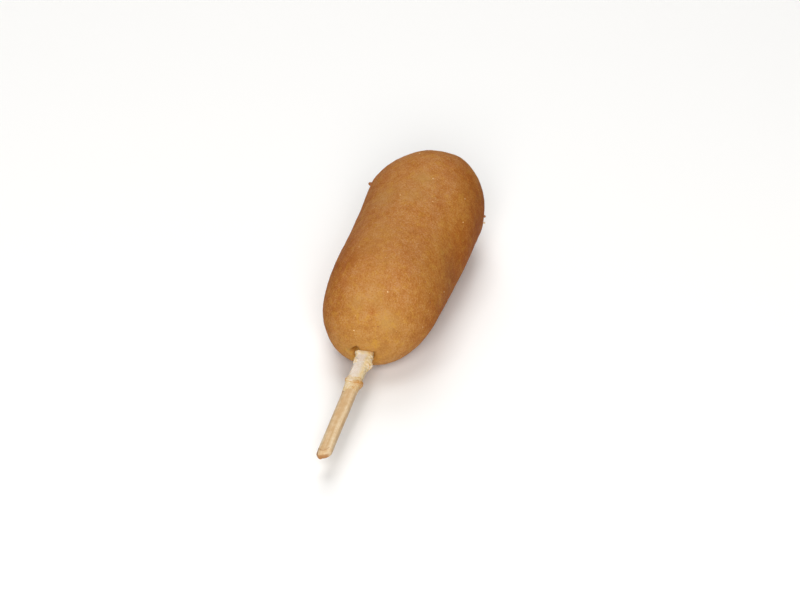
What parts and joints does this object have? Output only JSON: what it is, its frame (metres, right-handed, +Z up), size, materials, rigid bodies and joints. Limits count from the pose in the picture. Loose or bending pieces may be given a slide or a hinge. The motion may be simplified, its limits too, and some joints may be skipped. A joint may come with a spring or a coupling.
{
  "type": "corn dog",
  "caption": "Corn dog lying on its side: a stout roll of golden-brown fried batter on a flat wooden stick that carries a ring and a thin film of dried batter.",
  "frame": {"origin": "centre of the footprint, on the surface that the corn dog lies on", "axes": "+X along the corn dog from the stick's tip to the bare far end, +Z up"},
  "size_m": [0.1512, 0.0416, 0.0398],
  "materials": {
    "crust": "deep-fried cornmeal batter, golden brown, finely pitted, with a faint sheen of oil",
    "stick": "sanded pale hardwood with fine grain along the stick",
    "residue": "pale dried batter, matt and crumbly",
    "ring": "tan-brown fried batter, slightly glossy"
  },
  "bodies": {
    "root": {"batter_crust": "crust", "wooden_stick": "stick", "batter_residue": "residue", "batter_ring": "ring"}
  },
  "joints": []
}
